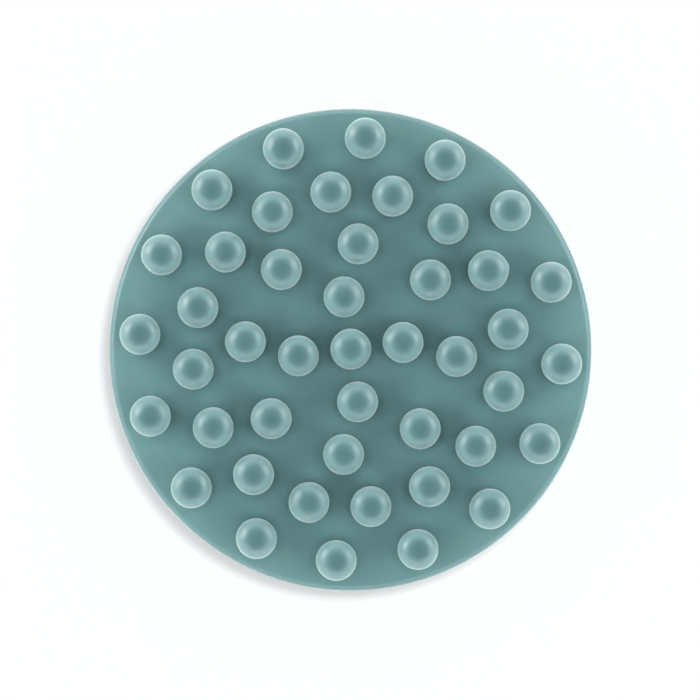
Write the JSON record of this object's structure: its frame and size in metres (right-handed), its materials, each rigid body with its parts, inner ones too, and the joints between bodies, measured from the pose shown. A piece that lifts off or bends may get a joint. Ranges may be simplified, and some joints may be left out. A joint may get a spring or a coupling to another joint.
{
  "type": "scalp massager brush",
  "caption": "Round hand-held scalp massager: a soft silicone disc with rings of tall round-tipped nubs, stretched over a stiff plate on a knob handle with a ribbed finger groove.",
  "frame": {"origin": "centre of the flat end of the handle, which the brush stands on", "axes": "+Z along the disc's axis from the handle's flat end to the nubs' tips; +X and +Y through the four nubs of the innermost ring"},
  "size_m": [0.08, 0.08, 0.056],
  "materials": {
    "pad_silicone": "satin",
    "handle_plastic": "satin",
    "grip_rubber": "matte",
    "plate_plastic": "satin",
    "seal_rubber": "matte",
    "screw_steel": "satin"
  },
  "bodies": {
    "handle": {"handle_body": "handle_plastic", "core_plate": "plate_plastic", "seal_ring": "seal_rubber", "plate_screw_1": "screw_steel", "plate_screw_2": "screw_steel", "plate_screw_3": "screw_steel", "plate_screw_4": "screw_steel", "grip_sleeve": "grip_rubber", "palm_cap": "handle_plastic"},
    "pad": {"bristle_pad": "pad_silicone", "nub_centre": "pad_silicone", "nub_ring1_1": "pad_silicone", "nub_ring1_2": "pad_silicone", "nub_ring1_3": "pad_silicone", "nub_ring1_4": "pad_silicone", "nub_ring2_1": "pad_silicone", "nub_ring2_2": "pad_silicone", "nub_ring2_3": "pad_silicone", "nub_ring2_4": "pad_silicone", "nub_ring2_5": "pad_silicone", "nub_ring2_6": "pad_silicone", "nub_ring2_7": "pad_silicone", "nub_ring2_8": "pad_silicone", "nub_ring3_1": "pad_silicone", "nub_ring3_2": "pad_silicone", "nub_ring3_3": "pad_silicone", "nub_ring3_4": "pad_silicone", "nub_ring3_5": "pad_silicone", "nub_ring3_6": "pad_silicone", "nub_ring3_7": "pad_silicone", "nub_ring3_8": "pad_silicone", "nub_ring3_9": "pad_silicone", "nub_ring3_10": "pad_silicone", "nub_ring3_11": "pad_silicone", "nub_ring3_12": "pad_silicone", "nub_ring3_13": "pad_silicone", "nub_ring3_14": "pad_silicone", "nub_ring3_15": "pad_silicone", "nub_ring3_16": "pad_silicone", "nub_ring4_1": "pad_silicone", "nub_ring4_2": "pad_silicone", "nub_ring4_3": "pad_silicone", "nub_ring4_4": "pad_silicone", "nub_ring4_5": "pad_silicone", "nub_ring4_6": "pad_silicone", "nub_ring4_7": "pad_silicone", "nub_ring4_8": "pad_silicone", "nub_ring4_9": "pad_silicone", "nub_ring4_10": "pad_silicone", "nub_ring4_11": "pad_silicone", "nub_ring4_12": "pad_silicone", "nub_ring4_13": "pad_silicone", "nub_ring4_14": "pad_silicone", "nub_ring4_15": "pad_silicone", "nub_ring4_16": "pad_silicone"}
  },
  "joints": [
    {"name": "pad_lift_off", "type": "slide", "parent": "handle", "child": "pad", "axis": [0, 0, 1], "range_m": [0, 0.02]}
  ]
}
